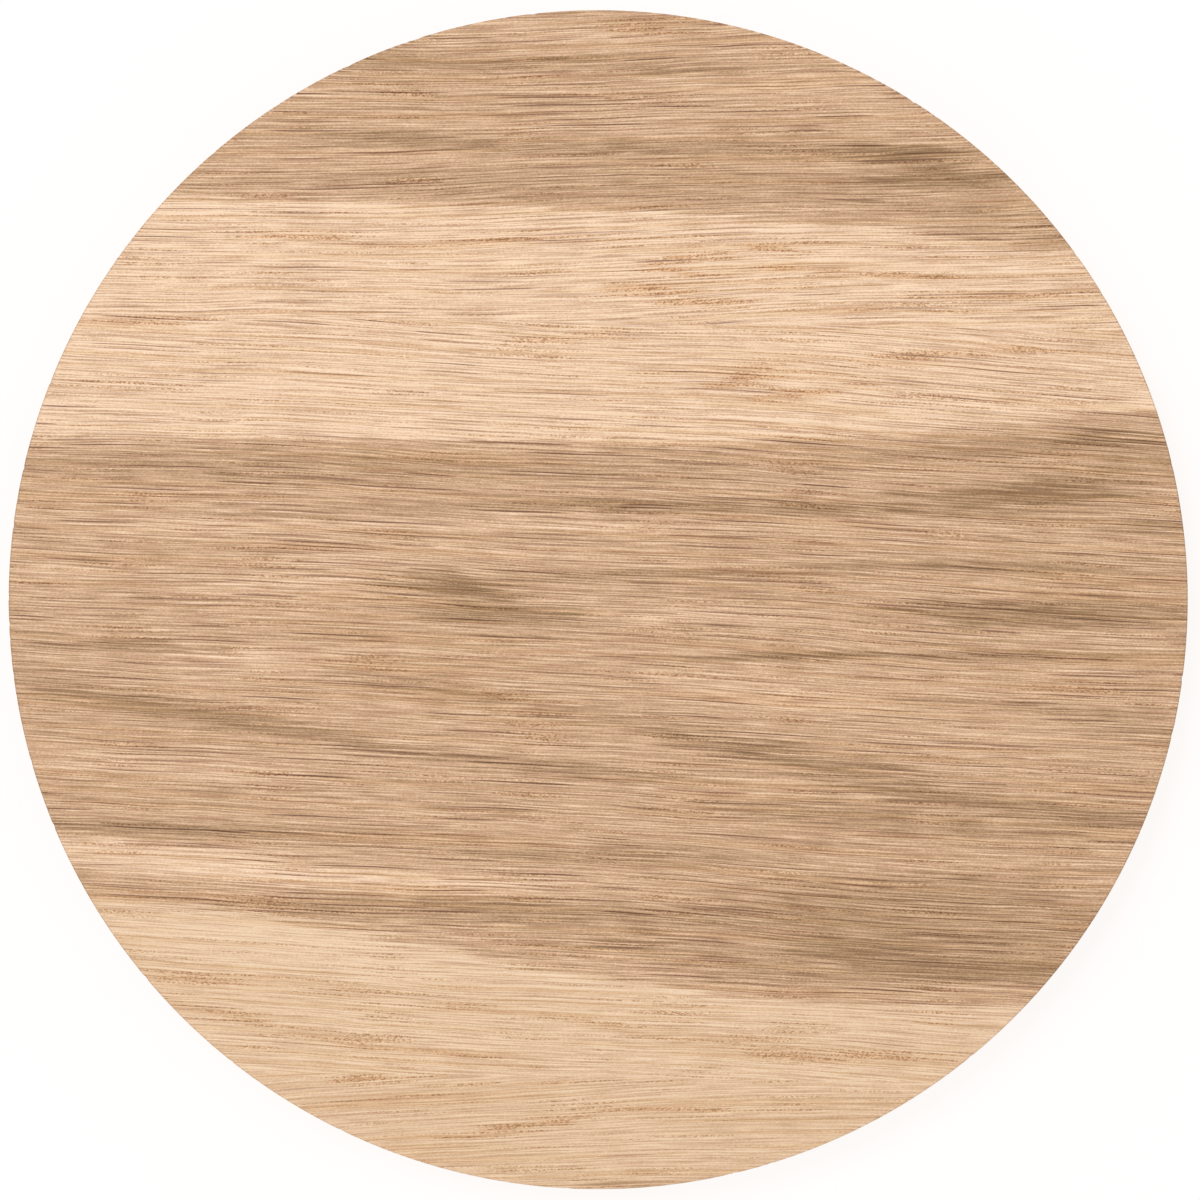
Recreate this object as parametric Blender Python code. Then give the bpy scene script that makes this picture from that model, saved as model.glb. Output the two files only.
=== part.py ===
"""Round wood slice: a disc sawn out of an oak board that was edge-glued from three staves.

Metres, +Z up. The origin is the centre of the underside. X runs along the grain and the glue
lines, and +Y points to the back stave. Run with: blender --background --python part.py
"""

import bmesh
import bpy
from mathutils import Vector

DIAMETER = 0.300
THICKNESS = 0.020
BACK_SEAM_Y = 0.0705
FRONT_SEAM_Y = -0.1215

# The rims are sawn square and only broken with sandpaper.
ARRIS = 0.0005
ARRIS_STEPS = 3
RIM_SEGMENTS = 240

SHARP_EDGE = 0.9

# Flat-sawn oak with a dry, sanded face: linear colours, the back and front staves paler.
PALE_OAK = (0.69, 0.46, 0.30)
TAN_OAK = (0.64, 0.42, 0.26)
STRAW_OAK = (0.72, 0.50, 0.32)
SANDED_ROUGHNESS = 0.65


def clear_scene():
    """Start from an empty file, whatever was open."""
    for thing in list(bpy.data.objects):
        bpy.data.objects.remove(thing, do_unlink=True)


def oak(name, colour):
    """One stave's own wood: bare, sanded oak."""
    material = bpy.data.materials.new(name)
    material.use_nodes = True
    shader = material.node_tree.nodes["Principled BSDF"]
    shader.inputs["Base Color"].default_value = (*colour, 1)
    shader.inputs["Roughness"].default_value = SANDED_ROUGHNESS
    shader.inputs["Metallic"].default_value = 0
    material.diffuse_color = (*colour, 1)
    return material


def whole_disc():
    """The disc as it is cut from the glued board, with both rims broken."""
    mesh = bmesh.new()
    bmesh.ops.create_circle(mesh, cap_ends=True, segments=RIM_SEGMENTS, radius=DIAMETER / 2)
    underside = mesh.faces[:]
    raised = bmesh.ops.extrude_face_region(mesh, geom=underside, use_keep_orig=True)
    top_points = [item for item in raised["geom"] if isinstance(item, bmesh.types.BMVert)]
    bmesh.ops.translate(mesh, verts=top_points, vec=Vector((0, 0, THICKNESS)))
    bmesh.ops.recalc_face_normals(mesh, faces=mesh.faces[:])
    rims = [edge for edge in mesh.edges if edge.verts[0].co.z == edge.verts[1].co.z]
    bmesh.ops.bevel(
        mesh, geom=rims, offset=ARRIS, segments=ARRIS_STEPS, profile=0.5, affect="EDGES"
    )
    return mesh


def saw_along(mesh, seam_y, keep):
    """Cut the disc along one glue line, and close the stave with its flat joint face.

    keep is +1 for the wood behind the line and -1 for the wood in front of it.
    """
    everything = mesh.verts[:] + mesh.edges[:] + mesh.faces[:]
    bmesh.ops.bisect_plane(
        mesh, geom=everything, plane_co=(0, seam_y, 0), plane_no=(0, -keep, 0), clear_outer=True
    )
    cut = [edge for edge in mesh.edges if edge.is_boundary]
    for edge in cut:
        for point in edge.verts:
            point.co.y = seam_y
    bmesh.ops.edgeloop_fill(mesh, edges=cut)
    bmesh.ops.recalc_face_normals(mesh, faces=mesh.faces[:])


def stave(name, colour, back_of=None, front_of=None):
    """One stave of the slice, between the glue lines that bound it."""
    mesh = whole_disc()
    if back_of is not None:
        saw_along(mesh, back_of, keep=1)
    if front_of is not None:
        saw_along(mesh, front_of, keep=-1)
    data = bpy.data.meshes.new(name)
    mesh.to_mesh(data)
    mesh.free()
    data.materials.append(oak(f"{name}_oak", colour))
    data.shade_smooth()
    data.set_sharp_from_angle(angle=SHARP_EDGE)
    piece = bpy.data.objects.new(name, data)
    bpy.context.scene.collection.objects.link(piece)
    return piece


clear_scene()
stave("stave_back", PALE_OAK, back_of=BACK_SEAM_Y)
stave("stave_middle", TAN_OAK, back_of=FRONT_SEAM_Y, front_of=BACK_SEAM_Y)
stave("stave_front", STRAW_OAK, front_of=FRONT_SEAM_Y)
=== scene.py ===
"""Round wood slice: bare, sanded, flat-sawn oak, glued up from three staves and sawn to a disc.

The model's frame is in metres with +Z up. The wood's own measures below are in millimetres.
X runs along the grain and the glue lines, +Y to the back stave, and the face is on top.
"""

import math
import random

import bmesh
import bpy
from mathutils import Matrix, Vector


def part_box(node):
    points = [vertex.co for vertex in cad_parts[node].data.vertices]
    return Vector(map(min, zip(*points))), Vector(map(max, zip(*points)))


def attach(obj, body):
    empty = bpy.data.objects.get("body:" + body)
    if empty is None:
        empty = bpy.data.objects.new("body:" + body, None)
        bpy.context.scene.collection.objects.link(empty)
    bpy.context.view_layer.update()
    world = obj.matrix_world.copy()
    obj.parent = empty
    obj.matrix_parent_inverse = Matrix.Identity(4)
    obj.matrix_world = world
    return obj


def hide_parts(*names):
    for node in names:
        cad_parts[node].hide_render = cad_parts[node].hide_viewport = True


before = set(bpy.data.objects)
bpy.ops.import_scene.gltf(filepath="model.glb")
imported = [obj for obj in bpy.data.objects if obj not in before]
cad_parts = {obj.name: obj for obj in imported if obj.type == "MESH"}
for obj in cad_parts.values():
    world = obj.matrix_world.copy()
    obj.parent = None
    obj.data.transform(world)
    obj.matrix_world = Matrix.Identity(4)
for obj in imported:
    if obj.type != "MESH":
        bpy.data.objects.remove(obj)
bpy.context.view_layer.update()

# The middle stave is the widest of the three: tan heartwood between two pale bands. Each stave is
# one flat-sawn oak board planed to the same thickness, glued edge to edge to its neighbours, and
# the glued board is then sawn to a circle, so a stave is the disc cut off at its glue lines.

MM = 0.001
SLICE_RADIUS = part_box("stave_middle")[1].x
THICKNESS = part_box("stave_middle")[1].z
FRONT_GLUE_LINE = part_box("stave_middle")[0].y
BACK_GLUE_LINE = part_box("stave_middle")[1].y
ARRIS = 0.5 * MM
ARRIS_STEPS = 3
RIM_POINTS = 1440
RIM_TEARS = 70
TEAR_DEPTH = 0.22 * MM
BURR_HEIGHT = 0.4 * TEAR_DEPTH
TEAR_REACH = 0.9 * MM
SHARP_ANGLE = math.radians(35)


def saw_disc(name):
    """The glued board sawn to a circle, with both rims broken by sandpaper."""
    bpy.ops.object.select_all(action="DESELECT")
    bpy.ops.mesh.primitive_cylinder_add(
        vertices=RIM_POINTS, radius=SLICE_RADIUS, depth=THICKNESS, location=(0, 0, THICKNESS / 2)
    )
    piece = bpy.context.object
    piece.name = name
    piece.data.name = name
    bpy.ops.object.transform_apply(location=True, rotation=True, scale=True)
    bpy.ops.object.mode_set(mode="EDIT")
    bpy.ops.mesh.select_mode(type="EDGE")
    bpy.ops.mesh.select_all(action="DESELECT")
    shape = bmesh.from_edit_mesh(piece.data)
    for edge in shape.edges:
        edge.select_set(abs(edge.verts[0].co.z - edge.verts[1].co.z) < ARRIS)
    bmesh.update_edit_mesh(piece.data)
    bpy.ops.mesh.bevel(offset=ARRIS, segments=ARRIS_STEPS, profile=0.5, affect="EDGES")
    return piece


def saw_at_glue_line(glue_line, keep):
    """Take the wood on one side of a glue line away; keep is +1 for the wood behind the line."""
    bpy.ops.mesh.select_all(action="SELECT")
    bpy.ops.mesh.bisect(
        plane_co=(0, glue_line, 0), plane_no=(0, -keep, 0), use_fill=True, clear_outer=True
    )


def finish_stave(piece, seed):
    """Leave edit mode, tear the top rim a little where the saw crossed the fibres, and shade.

    A tear goes inwards, or leaves a low burr that stands out.
    """
    bpy.ops.mesh.select_all(action="SELECT")
    bpy.ops.mesh.normals_make_consistent(inside=False)
    bpy.ops.object.mode_set(mode="OBJECT")
    draw = random.Random(seed)
    tears = [draw.uniform(-math.pi, math.pi) for _ in range(RIM_TEARS)]
    depths = [draw.uniform(-BURR_HEIGHT, TEAR_DEPTH) for _ in tears]
    for point in piece.data.vertices:
        near_top = point.co.z > THICKNESS - 2 * ARRIS
        near_rim = math.hypot(point.co.x, point.co.y) > SLICE_RADIUS - 1.5 * ARRIS
        on_joint = min(abs(point.co.y - FRONT_GLUE_LINE), abs(point.co.y - BACK_GLUE_LINE)) < ARRIS
        if not (near_top and near_rim) or on_joint:
            continue
        around = math.atan2(point.co.y, point.co.x)
        for tear, depth in zip(tears, depths):
            away = abs(around - tear) * SLICE_RADIUS
            if away < TEAR_REACH:
                inward = depth * (1 - away / TEAR_REACH)
                point.co.x -= math.cos(around) * inward
                point.co.y -= math.sin(around) * inward
    bpy.ops.object.shade_smooth_by_angle(angle=SHARP_ANGLE)


class Value:
    """A shader socket that takes part in plain arithmetic: each operation adds its Math node."""

    def __init__(self, tree, socket):
        self.tree = tree
        self.socket = socket

    def node(self, kind, settings, sockets, out=0):
        """Add any node: its settings come first, then the values or links of its sockets."""
        made = self.tree.nodes.new(kind)
        for name, setting in settings.items():
            setattr(made, name, setting)
        for name, given in sockets.items():
            if isinstance(given, Value):
                self.tree.links.new(given.socket, made.inputs[name])
            else:
                made.inputs[name].default_value = given
        return Value(self.tree, made.outputs[out])

    def other(self, out):
        """Another output of the node that this value comes from."""
        return Value(self.tree, self.socket.node.outputs[out])

    def math(self, operation, *others):
        """A Math node with this value as its first input."""
        sockets = dict(enumerate((self, *others)))
        return self.node("ShaderNodeMath", {"operation": operation}, sockets)

    def __add__(self, other):
        return self.math("ADD", other)

    __radd__ = __add__

    def __mul__(self, other):
        return self.math("MULTIPLY", other)

    __rmul__ = __mul__

    def __sub__(self, other):
        return self.math("SUBTRACT", other)

    def __rsub__(self, other):
        return self.math("MULTIPLY_ADD", -1.0, other)

    def __truediv__(self, other):
        return self.math("DIVIDE", other)

    def times_plus(self, factor, added):
        """This value times a factor, plus another value."""
        return self.math("MULTIPLY_ADD", factor, added)

    def between(self, low, high):
        """A level that goes from low to high as this value goes from 0 to 1."""
        return self.times_plus(high - low, low)

    def ramp(self, low, high):
        """A smooth step from 0 at one level of this value to 1 at another."""
        return self.node(
            "ShaderNodeMapRange",
            {"interpolation_type": "SMOOTHSTEP"},
            {"Value": self, "From Min": low, "From Max": high},
        )

    def vector(self, y, z):
        """A vector that has this value as its X."""
        return self.node("ShaderNodeCombineXYZ", {}, {"X": self, "Y": y, "Z": z})

    def vector_math(self, operation, *others, out=0):
        """A Vector Math node with this value as its first input."""
        sockets = dict(enumerate((self, *others)))
        return self.node("ShaderNodeVectorMath", {"operation": operation}, sockets, out)

    def tinted(self, mask, tint):
        """This colour multiplied by a tint where the mask is 1."""
        return self.node(
            "ShaderNodeMix",
            {"data_type": "RGBA", "blend_type": "MULTIPLY", "clamp_factor": True},
            {0: mask, 6: self, 7: (*tint, 1)},
            out=2,
        )


def grain_noise(along, across, size, depth=None):
    """Noise stretched along the grain; size is its length, width and, with a depth, height in mm.

    Without a depth the noise goes through the whole board unchanged, as rays nearly do.
    """
    height = 0.0 if depth is None else depth * (1 / size[2])
    place = (along * (1 / size[0])).vector(across * (1 / size[1]), height)
    return place.node(
        "ShaderNodeTexNoise",
        {"noise_dimensions": "2D" if depth is None else "3D"},
        {"Vector": place, "Scale": 1.0, "Detail": 0.0},
    )


# Rays stand on edge in a flat-sawn board, one to a cell of the wood. Lengths are in mm, and each
# ray draws its own between the least and the most.
RAY_CELL = (50.0, 1.1)
RAY_HALF_LENGTH = (5.25, 20.25)
RAY_HALF_WIDTH = (0.091, 0.221)
RAY_STRENGTH = (0.34, 1.0)
RAY_EDGE = (-0.05, 0.10)


def ray_flecks(along, across):
    """Rays cut through by the face: long thin dark spindles."""
    place = (along * (1 / RAY_CELL[0])).vector(across * (1 / RAY_CELL[1]), 0.0)
    cells = place.node(
        "ShaderNodeTexVoronoi",
        {"voronoi_dimensions": "2D", "feature": "F1"},
        {"Vector": place, "Scale": 1.0, "Randomness": 1.0},
        out="Position",
    )
    middle = place.vector_math("SUBTRACT", cells)
    apart = middle.node("ShaderNodeSeparateXYZ", {}, {"Vector": middle})
    chance = cells.node("ShaderNodeSeparateColor", {}, {"Color": cells.other("Color")})
    lengthwise = apart * RAY_CELL[0] / chance.between(*RAY_HALF_LENGTH)
    squared = lengthwise * lengthwise
    taper = 1 - squared * squared
    width = taper * chance.other("Green").between(*RAY_HALF_WIDTH)
    inside = width - (apart.other("Y") * RAY_CELL[1]).math("ABSOLUTE")
    return inside.ramp(*RAY_EDGE) * chance.other("Blue").between(*RAY_STRENGTH)


def edge_height(along, corners):
    """The height across the grain of a line through a few points, read at each x along it."""
    reach = SLICE_RADIUS / MM
    at = along.times_plus(0.5 / reach, 0.5)
    line = at.node("ShaderNodeFloatCurve", {}, {"Value": at})
    curve = line.socket.node.mapping.curves[0]
    curve.points[0].location = (0.0, 0.5 + 0.5 * corners[0][1] / reach)
    curve.points[-1].location = (1.0, 0.5 + 0.5 * corners[-1][1] / reach)
    for corner_x, corner_y in corners[1:-1]:
        curve.points.new(0.5 + 0.5 * corner_x / reach, 0.5 + 0.5 * corner_y / reach)
    line.socket.node.mapping.update()
    return line.times_plus(2 * reach, -reach)


# Light reaching the face is a little over one, so the wood's own colours are darker by this much.
FACE_LIGHT = 1.03


def shade(red, green, blue):
    """A colour as seen on the lit face, 0 to 255, made the wood's own linear colour."""
    seen = [channel / 255 for channel in (red, green, blue)]
    linear = [
        level / 12.92 if level <= 0.04045 else ((level + 0.055) / 1.055) ** 2.4 for level in seen
    ]
    return [level / FACE_LIGHT for level in linear]


# Colours from the darkest wood at tone 0 to the palest at tone 1.
OAK_TONES = (
    (0.00, shade(147, 114, 80)),
    (0.25, shade(179, 144, 109)),
    (0.50, shade(206, 167, 132)),
    (0.75, shade(230, 194, 160)),
    (1.00, shade(245, 215, 184)),
)

# What each kind of mark does to the colour of the wood that it lies on.
RAY_TINT = (0.64, 0.45, 0.38)
RAY_CORE_TINT = (0.5, 0.54, 0.63)
PORE_TINT = (0.52, 0.43, 0.35)
OCHRE_TINT = (0.86, 0.74, 0.54)
CRUSHED_TINT = (1.2, 1.26, 1.32)
END_GRAIN_TINT = (0.74, 0.68, 0.62)
EARLY_WOOD_TINT = (0.84, 0.71, 0.57)
STRAW_TINT = (0.92, 0.915, 0.88)

# How long, how wide and, where it changes through the thickness, how deep each pattern is, in mm.
WANDER_SIZE = (95.0, 30.0)
RIPPLE_SIZE = (21.0, 5.5)
HAIR_SIZE = (9.0, 0.36, 0.4)
FIBRE_SIZE = (30.0, 0.7)
STRAND_SIZE = (90.0, 1.5)
BAND_SIZE = (150.0, 4.2)
PORE_SIZE = (0.55, 0.33, 0.3)
FINE_RAY_SIZE = (22.0, 0.42)
PORE_ROW_SIZE = (34.0, 0.6)
RING_PITCH = 2.8
FIBRE_PITCH = 0.77

# The rings dip across the board by this much for each mm of depth, and more on the edges that
# face across the grain.
RING_DIP = 0.3
EDGE_DIP = 0.8

# How far the patterns move one another and the larger patches, in mm. The last two wanders
# are in radians of the comb and in rings.
WANDER_SHIFT = 3.0
RIPPLE_SHIFT = 0.5
CLOUD_FEATHER = 42.0
MARK_FEATHER = 24.0
BAND_SHIFT = 2.4
STRAND_SHIFT = 2.2
PALE_EDGE_SOFTNESS = 0.6
STAVE_SHIFT = (47.0, 31.0)
BAND_STEP = 9.1
FINE_RAY_STEP = 3.1
PORE_ROW_STEP = 5.3
COMB_WANDER = 11.0
RING_WANDER = 2.4

# How the tone is made up: the mean of tan wood, what pale wood adds, and each pattern's share.
TAN_TONE = 0.45
PALE_LIFT = 0.31
BAND_TONE = 0.10
HAIR_TONE = 0.73
COMB_TONE = 0.32
PORE_TONE = 0.42
TAN_CONTRAST = 0.92
PALE_CONTRAST = 0.16
STRAW_CONTRAST = -0.3

# A mark begins where its pattern passes the first level, and is full at the second. The two
# pulls raise the rows of pores over early wood's first level.
END_GRAIN_LEVELS = (0.15, 0.9)
FINE_RAY_LEVELS = (0.62, 0.74)
CRUSHED_LEVELS = (0.32, 0.16)
EARLY_WOOD_LEVELS = (0.87, 1.0)
FIGURE_PULL = 0.44
RIPPLE_PULL = 0.35
BURIED_RING_LEVELS = (0.26, 0.42)
BURIED_RING_DEPTH = (0.4, 1.6)
DARK_PORE_LEVELS = (0.5, 0.32)
BRIGHT_PORE_LEVELS = (0.56, 0.72)
LONE_PORE_LEVELS = (0.76, 0.86)
OCHRE_LEVELS = (0.56, 0.74)

# How much of its tint each mark gets where it is full.
FINE_RAYS = 0.4
RAY_GRIT = (0.6, 1.4)
RAYS_FADE_IN_PALE = 0.36
RAYS_FADE_IN_END_GRAIN = 0.7
CRUSHED_FIBRES = 0.3
BRIGHT_PORES = 0.5
DARK_PORES = 0.68
OCHRE_STRANDS = 0.35
EARLY_WOOD = 0.45
FIGURE = 0.55

# The sanded wood's roughness, what each kind of mark adds to it, and the relief of the fibres.
SANDED_ROUGHNESS = 0.6
END_GRAIN_ROUGHNESS = 0.1
PORE_ROUGHNESS = 0.15
RAY_ROUGHNESS = 0.12
FIBRE_RELIEF = 0.5
HAIR_RELIEF = 0.4
RELIEF_DEPTH = 0.03 * MM
RELIEF_STRENGTH = 0.8

# A streak that changes nothing, to fill up a group of three.
NO_STREAK = (0, 0, 1, 1, 0, 0)


def add_streaks(total, streaks, all_x, all_y):
    """Add long soft patches to a value, each strongest in its middle.

    A streak is its x, y, half length, half width, rise along X, and the change that it makes.
    all_x and all_y hold one coordinate three times, as a vector node works on three streaks.
    """
    # Streaks that don't rise need one node fewer, so they come together at the end.
    streaks = sorted(streaks, key=lambda streak: streak[4] == 0)
    for first in range(0, len(streaks), 3):
        three = [*streaks[first : first + 3], NO_STREAK, NO_STREAK][:3]
        middle_x, middle_y, length, width, rise, change = zip(*three)
        x_scale = [1 / half_length for half_length in length]
        y_scale = [1 / half_width for half_width in width]
        slope = [-climb / half_width for climb, half_width in zip(rise, width)]
        x_offset = [-at_x / half_length for at_x, half_length in zip(middle_x, length)]
        y_offset = [
            (climb * at_x - at_y) / half_width
            for at_x, at_y, climb, half_width in zip(middle_x, middle_y, rise, width)
        ]
        away_x = all_x.vector_math("MULTIPLY_ADD", x_scale, x_offset)
        away_y = all_y.vector_math("MULTIPLY_ADD", y_scale, y_offset)
        if any(rise):
            away_y = all_x.vector_math("MULTIPLY_ADD", slope, away_y)
        away = away_x.vector_math("MULTIPLY", away_x)
        away = away_y.vector_math("MULTIPLY_ADD", away_y, away)
        away = away.vector_math("MINIMUM", (1.0, 1.0, 1.0))
        total = total - away.vector_math("DOT_PRODUCT", change, out="Value")
    return total + sum(streak[-1] for streak in streaks)


def bare_oak(name, lean, bow, pale_above, pale_below, clouds, marks, straw, seed):
    """One stave's wood, solid through its thickness.

    lean and bow say how its grain runs across X. pale_above and pale_below are the lines beyond
    which the wood is pale, and pale_above may be empty. clouds are its lighter and darker
    streaks, marks the feathers and lines of porous early wood, both given as add_streaks takes
    them, and straw is how yellow the pale wood in front is.
    """
    material = bpy.data.materials.new(name)
    material.use_nodes = True
    tree = material.node_tree
    shader = tree.nodes["Principled BSDF"]
    coordinate = tree.nodes.new("ShaderNodeTexCoord")
    metres = Value(tree, coordinate.outputs["Object"])
    place = metres.vector_math("MULTIPLY", (1 / MM, 1 / MM, 1 / MM))
    x = place.node("ShaderNodeSeparateXYZ", {}, {"Vector": place})
    z = x.other("Z")
    depth = THICKNESS / MM - z
    normal = Value(tree, coordinate.outputs["Normal"])
    facing = normal.node("ShaderNodeSeparateXYZ", {}, {"Vector": normal})
    end_grain = facing.math("ABSOLUTE").ramp(*END_GRAIN_LEVELS)

    # The rings dip into the board, so the figure of the face slants through the end grain and
    # runs on as long lines where the edge is sawn along the grain.
    y = x.other("Y") - depth * facing.other("Y").times_plus(EDGE_DIP, RING_DIP)

    # The grain leans and bows across the stave, and wanders a little on its way. The seed keeps
    # the figures of the staves apart, and the steps across those of the patterns.
    wander = grain_noise(x, y, WANDER_SIZE)
    ripple = grain_noise(x + STAVE_SHIFT[0] * seed, y, RIPPLE_SIZE)
    leaning = x.times_plus(-bow, -lean) * x + y
    rippled = ripple.times_plus(RIPPLE_SHIFT, leaning + STAVE_SHIFT[1] * seed)
    across = wander.times_plus(WANDER_SHIFT, rippled)
    hair = grain_noise(x, across, HAIR_SIZE, z)
    fibre = grain_noise(x, across, FIBRE_SIZE)
    strand = grain_noise(x, across, STRAND_SIZE)
    band = grain_noise(x, across + BAND_STEP, BAND_SIZE)

    # Fibres carry the colour of clouds and marks some way along the grain, so that their ends
    # are feathered, and the bands make their sides uneven.
    cloud_x = fibre.times_plus(CLOUD_FEATHER, x - CLOUD_FEATHER / 2)
    cloud_y = band.times_plus(BAND_SHIFT, y - BAND_SHIFT / 2)
    mark_x = fibre.times_plus(MARK_FEATHER, x - MARK_FEATHER / 2)
    all_y = cloud_y.vector(cloud_y, cloud_y)

    # Pale wood meets the tan along lines that the strands make ragged.
    ragged_y = strand.times_plus(STRAND_SHIFT, cloud_y - STRAND_SHIFT / 2)
    below = edge_height(cloud_x, pale_below) - ragged_y
    below = below.ramp(-PALE_EDGE_SOFTNESS, PALE_EDGE_SOFTNESS)
    pale = below
    if pale_above:
        above = ragged_y - edge_height(cloud_x, pale_above)
        pale = below + above.ramp(-PALE_EDGE_SOFTNESS, PALE_EDGE_SOFTNESS)
    contrast = pale * PALE_CONTRAST + TAN_CONTRAST
    if straw:
        yellow = below * straw
        contrast = yellow * STRAW_CONTRAST + contrast

    # The tone comes from fine threads and the comb of the fibres, on top of bands and clouds.
    pores = grain_noise(x, across, PORE_SIZE, z)
    comb = strand.times_plus(COMB_WANDER, across * (2 * math.pi / FIBRE_PITCH)).math("SINE")
    threads = hair.times_plus(HAIR_TONE, comb * (fibre * COMB_TONE))
    threads = threads + pores.times_plus(PORE_TONE, -(HAIR_TONE + PORE_TONE) / 2)
    tone = threads * contrast + (pale * PALE_LIFT + band.times_plus(BAND_TONE, TAN_TONE))
    tone = add_streaks(tone, clouds, cloud_x.vector(cloud_x, cloud_x), all_y)

    # Bold rays and fine ones, which are fainter in pale wood, and bright crushed fibres.
    bold = ray_flecks(x, across)
    lines = grain_noise(x, across + FINE_RAY_STEP, FINE_RAY_SIZE)
    grit = hair.between(*RAY_GRIT) * contrast
    rays = (bold + lines.ramp(*FINE_RAY_LEVELS) * FINE_RAYS) * (grit - pale * RAYS_FADE_IN_PALE)
    crushed = lines.ramp(*CRUSHED_LEVELS) * CRUSHED_FIBRES

    # Growth rings lie nearly flat. The porous early wood of one shows on the face as feathers of
    # small dots, and deeper in the board as layers that the sawn edge and the back cut.
    rows = grain_noise(x, across + PORE_ROW_STEP, PORE_ROW_SIZE)
    figure = add_streaks(0.0, marks, mark_x.vector(mark_x, mark_x), all_y)
    layers = wander.times_plus(RING_WANDER, depth * (1 / RING_PITCH)).math("FRACT")
    buried = (layers - 0.5).math("ABSOLUTE").ramp(*BURIED_RING_LEVELS)
    buried = buried * depth.ramp(*BURIED_RING_DEPTH)
    feathers = figure.times_plus(FIGURE_PULL, ripple.times_plus(RIPPLE_PULL, rows))
    early = feathers.ramp(*EARLY_WOOD_LEVELS) + buried
    dark_pores = pores.ramp(*DARK_PORE_LEVELS) * early
    bright_pores = pores.ramp(*BRIGHT_PORE_LEVELS) * early + pores.ramp(*LONE_PORE_LEVELS)
    ochre = strand.ramp(*OCHRE_LEVELS)

    wood = tone.node("ShaderNodeValToRGB", {}, {"Fac": tone})
    stops = wood.socket.node.color_ramp.elements
    for level, _ in OAK_TONES[1:-1]:
        stops.new(level)
    for stop, (level, colour) in zip(stops, OAK_TONES):
        stop.position = level
        stop.color = (*colour, 1)

    wood = wood.tinted(ochre * OCHRE_STRANDS, OCHRE_TINT)
    wood = wood.tinted(early * EARLY_WOOD + figure * FIGURE, EARLY_WOOD_TINT)
    if straw:
        wood = wood.tinted(yellow, STRAW_TINT)
    wood = wood.tinted(crushed + bright_pores * BRIGHT_PORES, CRUSHED_TINT)
    wood = wood.tinted(dark_pores * DARK_PORES, PORE_TINT)
    faced_rays = rays * (1 - end_grain * RAYS_FADE_IN_END_GRAIN)
    wood = wood.tinted(faced_rays, RAY_TINT)
    wood = wood.tinted(faced_rays * faced_rays, RAY_CORE_TINT)
    wood = wood.tinted(end_grain, END_GRAIN_TINT)
    tree.links.new(wood.socket, shader.inputs["Base Color"])

    # Pores, rays and end grain are a little rougher than the sanded wood between them.
    roughness = end_grain.times_plus(END_GRAIN_ROUGHNESS, SANDED_ROUGHNESS)
    roughness = dark_pores.times_plus(PORE_ROUGHNESS, roughness)
    roughness = rays.times_plus(RAY_ROUGHNESS, roughness)
    tree.links.new(roughness.socket, shader.inputs["Roughness"])
    shader.inputs["Specular IOR Level"].default_value = 0.3

    relief = fibre.times_plus(FIBRE_RELIEF, hair * HAIR_RELIEF)
    bump = relief.node(
        "ShaderNodeBump",
        {},
        {"Height": relief, "Distance": RELIEF_DEPTH, "Strength": RELIEF_STRENGTH},
        out="Normal",
    )
    tree.links.new(bump.socket, shader.inputs["Normal"])
    return material


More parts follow.
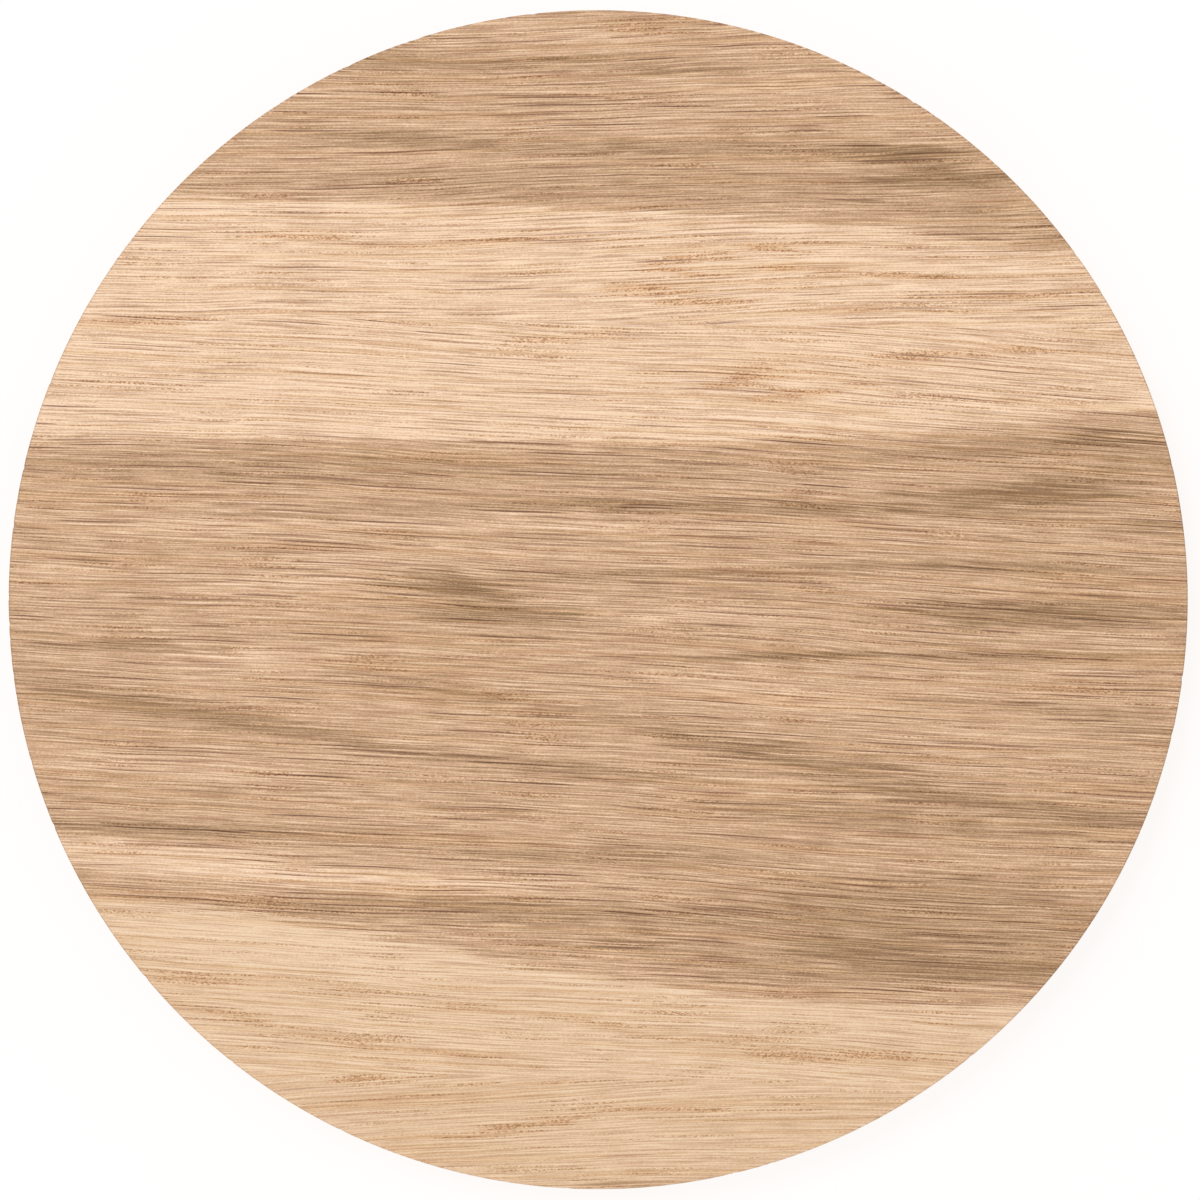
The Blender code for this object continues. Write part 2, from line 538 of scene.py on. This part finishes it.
middle = saw_disc("oak_stave_middle")
saw_at_glue_line(FRONT_GLUE_LINE, keep=1)
saw_at_glue_line(BACK_GLUE_LINE, keep=-1)
finish_stave(middle, seed=5)
middle.data.materials.append(
    bare_oak(
        "tan_oak",
        lean=-0.036,
        bow=-0.00003,
        pale_above=((-150, 38), (-50, 40.3), (0, 41), (50, 41.5), (90, 45), (120, 49), (150, 51)),
        pale_below=(
            (-150, -75.5),
            (-110, -78.5),
            (-90, -80.5),
            (-60, -85),
            (-40, -90),
            (0, -96),
            (40, -100.5),
            (80, -102),
            (150, -102),
        ),
        clouds=(
            # Darker ends of the pale band behind, and bright wood along the front edge.
            (110, 72, 50, 12, 0.0, -0.07),
            (125, 56, 30, 5, 0.05, -0.1),
            (-68, -87.5, 24, 1.6, -0.2, 0.1),
            (-25, -94.5, 34, 1.6, -0.15, 0.12),
            (20, -99.5, 30, 1.4, -0.1, 0.14),
            (-78, -91, 60, 9, -0.12, 0.13),
            # The olive band along the rear edge of the heartwood, the dark patch at its
            # right end, and a dark line in front of it with paler wood beside it.
            (-95, 32, 70, 5.5, 0.0, -0.15),
            (0, 33, 75, 5, 0.0, -0.12),
            (108, 40.5, 50, 3.5, 0.08, -0.24),
            (108, 28.5, 32, 6, 0.12, -0.45),
            (138, 38, 20, 4, 0.1, -0.2),
            (134, 44, 18, 3, 0.0, -0.26),
            (105, 48, 20, 2, 0.05, -0.18),
            (140, 20, 22, 2, 0.0, -0.22),
            (-88, 21, 24, 1.3, 0.0, -0.22),
            (-45, 22.5, 32, 2.2, 0.0, -0.16),
            (15, 24, 56, 2.2, 0.0, -0.3),
            (62, 23.5, 24, 2, 0.0, -0.24),
            (-20, 18.5, 75, 1.8, 0.0, 0.14),
            (-105, 17.5, 50, 3, 0.0, 0.12),
            # The dark eye left of the middle with its tails, the paler wood round it, and
            # dark streaks that run in from both rims.
            (-38, 3.3, 20, 4.2, -0.12, -0.5),
            (-25, -3.5, 26, 4, -0.05, -0.38),
            (-62, 9, 26, 2, 0.05, 0.14),
            (-138, 5, 22, 2.5, 0.0, 0.13),
            (20, 7, 65, 2.2, 0.05, -0.24),
            (98, 9.5, 46, 1.8, 0.0, -0.26),
            (-78, 3.5, 28, 3, 0.05, 0.18),
            (24, -3.5, 36, 3, 0.0, 0.16),
            (116, -1.5, 46, 5, 0.02, -0.42),
            (102, -12.8, 50, 1.5, 0.0, -0.24),
            (122, -26.5, 26, 2.5, -0.05, -0.18),
            (48, -13.5, 36, 1.3, 0.03, -0.36),
            (-122, -13.5, 34, 1.6, 0.0, -0.26),
            (-86, -15.5, 24, 3, 0.0, 0.15),
            # Dark diagonals that cross the heartwood down to the right, paler wood between
            # them, and darker wood in front of them.
            (-38, -23.5, 44, 3, -0.18, -0.2),
            (-122, -27, 44, 4.5, -0.2, -0.28),
            (-78, -34.5, 36, 3, -0.13, -0.24),
            (-40, -40, 30, 2.2, -0.15, -0.16),
            (28, -35.5, 34, 3.2, -0.2, -0.3),
            (64, -43, 28, 3.8, -0.2, -0.3),
            (104, -50.5, 46, 2.6, -0.12, -0.34),
            (-4, -43, 34, 3.2, -0.1, -0.22),
            (46, -24.5, 40, 5, -0.1, 0.16),
            (98, -35, 38, 6, 0.0, 0.1),
            (138, -32, 14, 4, -0.2, -0.24),
            (-110, -44, 40, 4, -0.05, 0.13),
            (-108, -60.3, 52, 2.6, -0.03, -0.28),
            (8, -65, 50, 3.2, 0.0, -0.2),
            (80, -55, 70, 5, -0.05, -0.2),
            # The pale wedge from the left rim, and the dark wood in front of it and beyond.
            (-112, -67.5, 60, 5.5, -0.07, 0.32),
            (-60, -72.5, 52, 3, -0.03, 0.25),
            (-28, -71.8, 30, 2, 0.0, 0.2),
            (-10, -79.5, 95, 5, 0.0, -0.2),
            (88, -81, 66, 13, -0.05, -0.22),
            (62, -88, 26, 4.2, -0.03, -0.34),
            (98, -92.5, 36, 4, -0.02, -0.36),
            (95, -69, 40, 3, -0.05, -0.16),
            (20, -88, 34, 4, -0.1, -0.14),
            (56, -94.5, 38, 3.6, -0.04, -0.18),
        ),
        marks=(
            # Feathers of the pale band behind.
            (-6, 67, 18, 2, 0.1, 0.6),
            (32, 55.5, 14, 2.2, 0.2, 0.9),
            (47, 52.5, 12, 2, 0.2, 0.9),
            (40, 61, 20, 1.8, 0.1, 0.65),
            (59, 54.5, 10, 2.2, 0.2, 0.75),
            (84, 63.5, 32, 2, 0.1, 0.6),
            (-120, 69, 18, 1.8, 0.0, 0.8),
            # Browner streaks in the heartwood.
            (-85, 12, 28, 1.8, 0.0, 0.38),
            (-112, 7.5, 30, 1.2, 0.0, 0.38),
            (-40, -21, 42, 2.6, -0.2, 0.38),
            (122, -21, 30, 2.4, 0.0, 0.35),
            # Ring lines of the pale zone in front, the last one along its edge.
            (-85, -98.5, 48, 1.4, -0.05, 0.6),
            (-25, -104.5, 42, 1.5, -0.1, 0.7),
            (20, -110.5, 34, 1.9, -0.1, 0.7),
            (68, -115.5, 42, 1.6, -0.05, 0.6),
            (-92, -107, 26, 1.7, -0.2, 0.8),
            (-45, -115.5, 42, 1.6, -0.1, 0.6),
            (-95, -78, 46, 1.4, -0.07, 0.5),
        ),
        straw=0.9,
        seed=1.0,
    )
)
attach(middle, "root")
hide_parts("stave_middle")

# The back stave is the segment behind the rear glue line. Its pale inner half mirrors the middle
# stave's, as boards opened like a book do, and its outer half is olive heartwood.

back = saw_disc("oak_stave_back")
saw_at_glue_line(BACK_GLUE_LINE, keep=1)
finish_stave(back, seed=6)
back.data.materials.append(
    bare_oak(
        "pale_oak",
        lean=0.033,
        bow=0.00006,
        pale_above=(),
        pale_below=(
            (-150, 102),
            (-110, 101.5),
            (-50, 100),
            (30, 98),
            (70, 95),
            (90, 93),
            (150, 88),
        ),
        clouds=(
            # Bright wood along the edge of the pale half, streaks of the outer half, and a
            # faint shade over the right end of the pale half.
            (-80, 98.5, 60, 1.8, 0.0, 0.1),
            (-50, 117, 28, 3, 0.0, -0.24),
            (-70, 117, 34, 4, 0.0, -0.08),
            (15, 115, 66, 2.8, 0.0, -0.24),
            (76, 114, 18, 4.2, -0.05, -0.46),
            (90, 108.5, 30, 3.5, 0.0, -0.4),
            (-20, 136.5, 44, 2.2, 0.05, -0.24),
            (15, 135, 36, 2.2, 0.05, -0.16),
            (-60, 137, 22, 4, 0.0, -0.2),
            (-10, 143, 24, 3, 0.0, 0.2),
            (0, 105.5, 130, 6, 0.0, -0.13),
            (40, 131, 36, 2.5, 0.0, 0.14),
            (90, 100.5, 26, 2.6, -0.05, -0.2),
            (106, 92, 36, 6, 0.0, -0.08),
            (112, 79, 34, 8, 0.0, -0.08),
        ),
        marks=(
            # Feathers in the pale half, and one line near the back rim.
            (24, 87.5, 9, 2, 0.2, 1.0),
            (20, 84, 8, 1.8, -0.2, 1.0),
            (10, 79, 14, 1.6, 0.05, 0.9),
            (28, 76, 16, 1.5, 0.0, 0.7),
            (44, 90, 12, 1.6, -0.1, 0.9),
            (50, 85.5, 9, 2, -0.2, 1.0),
            (72, 84, 24, 1.5, -0.05, 0.8),
            (62, 75, 16, 1.6, 0.05, 0.8),
            (96, 79, 24, 1.4, 0.05, 0.7),
            (-78, 91.5, 18, 1.6, 0.0, 0.9),
            (-26, 91, 24, 1.2, 0.1, 0.7),
            (12, 145.5, 16, 2, 0.0, 0.8),
        ),
        straw=0.0,
        seed=2.0,
    )
)
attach(back, "root")
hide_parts("stave_back")

# The front stave is the small segment in front of the other glue line: pale straw-coloured oak
# with faint brown ring lines that rise to the right.

front = saw_disc("oak_stave_front")
saw_at_glue_line(FRONT_GLUE_LINE, keep=-1)
finish_stave(front, seed=7)
front.data.materials.append(
    bare_oak(
        "straw_oak",
        lean=0.055,
        bow=-0.0002,
        pale_above=(),
        pale_below=((-150, -110), (150, -110)),
        clouds=(
            # The whole stave a shade darker, and one dark line at the front rim.
            (0, -135, 300, 60, 0.0, -0.04),
            (15, -148.5, 24, 2, 0.0, -0.3),
        ),
        marks=(
            # Ring lines.
            (-60, -122.5, 20, 1.2, 0.1, 0.7),
            (-55, -128.5, 22, 1.2, 0.1, 0.7),
            (-22, -123.5, 24, 1.2, 0.05, 0.7),
            (-45, -137, 20, 1.2, 0.0, 0.7),
            (-14, -133.5, 24, 1.4, 0.15, 0.8),
            (22, -129.5, 24, 1.2, 0.0, 0.7),
        ),
        straw=1.2,
        seed=3.0,
    )
)
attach(front, "root")
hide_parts("stave_front")

# The slice lies loose on a plain table top of white, matt sheet. The table is lit from beneath
# too, so it glows evenly and the slice's shadow stays faint.

bpy.ops.object.select_all(action="DESELECT")
bpy.ops.mesh.primitive_plane_add(size=12.0, location=(0, 0, 0))
table = bpy.context.object
table.name = "white_table"
white = bpy.data.materials.new("white_table")
white.use_nodes = True
white_shader = white.node_tree.nodes["Principled BSDF"]
white_shader.inputs["Base Color"].default_value = (0.15, 0.15, 0.15, 1)
white_shader.inputs["Roughness"].default_value = 0.9
white_shader.inputs["Specular IOR Level"].default_value = 0.0
white_shader.inputs["Emission Color"].default_value = (0.875, 0.85, 0.84, 1)
white_shader.inputs["Emission Strength"].default_value = 1.0
white.cycles.emission_sampling = "NONE"
table.data.materials.append(white)

# The light is that of a plain studio: a white room all round, and one large round lamp behind
# a soft screen, hung high on the back left.

world = bpy.data.worlds.new("white_room")
world.use_nodes = True
world.node_tree.nodes["Background"].inputs["Color"].default_value = (1.0, 1.0, 1.0, 1)
world.node_tree.nodes["Background"].inputs["Strength"].default_value = 0.85
bpy.context.scene.world = world
bpy.context.scene.view_settings.view_transform = "Standard"

LAMP_FROM = Vector((-0.9, 0.9, 3.4))
lamp_data = bpy.data.lights.new("soft_lamp", "AREA")
lamp_data.shape = "DISK"
lamp_data.size = 1.2
lamp_data.energy = 34.0
lamp = bpy.data.objects.new("soft_lamp", lamp_data)
lamp.location = LAMP_FROM
lamp.rotation_euler = (-LAMP_FROM).to_track_quat("-Z", "Y").to_euler()
bpy.context.scene.collection.objects.link(lamp)

# The camera looks straight down through a long lens. The photograph is 1200 pixels wide and the
# slice's outline in it a circle of 589.7 pixels radius, its glue lines dropping to the right.

PHOTO_WIDTH = 1200
OUTLINE_RADIUS = 589.7
OUTLINE_CENTRE = (598.2, 599.7)
GLUE_LINE_DROP = 0.0155
CAMERA_HEIGHT = 1.6

pixel = SLICE_RADIUS / OUTLINE_RADIUS
aside = (PHOTO_WIDTH / 2 - OUTLINE_CENTRE[0]) * pixel
above = (OUTLINE_CENTRE[1] - PHOTO_WIDTH / 2) * pixel
camera_data = bpy.data.cameras.new("camera")
camera_data.sensor_width = 36.0
camera_data.lens = camera_data.sensor_width * CAMERA_HEIGHT / (PHOTO_WIDTH * pixel)
camera_data.clip_end = 50.0
camera = bpy.data.objects.new("camera", camera_data)
camera.location = (aside, above, THICKNESS + CAMERA_HEIGHT)
camera.rotation_euler = (0, 0, math.atan(GLUE_LINE_DROP))
bpy.context.scene.collection.objects.link(camera)
bpy.context.scene.camera = camera
